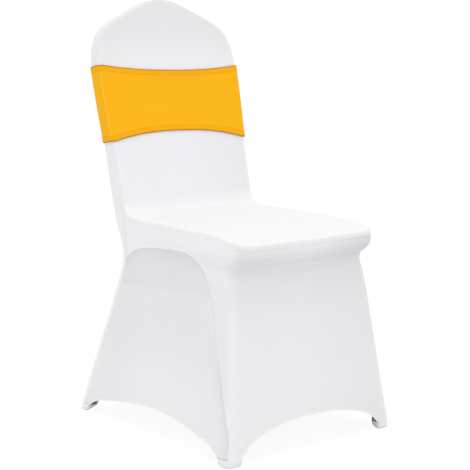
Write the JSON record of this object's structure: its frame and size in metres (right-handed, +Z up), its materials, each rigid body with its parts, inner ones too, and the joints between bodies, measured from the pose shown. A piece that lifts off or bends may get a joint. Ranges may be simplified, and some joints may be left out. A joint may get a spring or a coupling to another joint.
{
  "type": "chair cover with sash",
  "caption": "Fitted stretch cover for a crown-back banquet chair, with arched hems, foot pockets and a plain sash band round the backrest.",
  "frame": {"origin": "on the floor, under the middle of the whole cover's box", "axes": "+Z up, the seat faces -Y, +X to the right seen from the front"},
  "size_m": [0.4878, 0.591, 0.9508],
  "materials": {
    "cover_cloth": "matt white knitted stretch fabric",
    "sole_cloth": "off-white reinforced foot pocket",
    "sash_cloth": "golden yellow knitted stretch fabric"
  },
  "bodies": {
    "root": {"top_panel": "cover_cloth", "back_panel": "cover_cloth", "skirt_panel": "cover_cloth", "gusset_left": "cover_cloth", "gusset_right": "cover_cloth", "foot_pocket_front_left": "sole_cloth", "foot_pocket_front_right": "sole_cloth", "foot_pocket_rear_left": "sole_cloth", "foot_pocket_rear_right": "sole_cloth", "sash_band": "sash_cloth"}
  },
  "joints": []
}
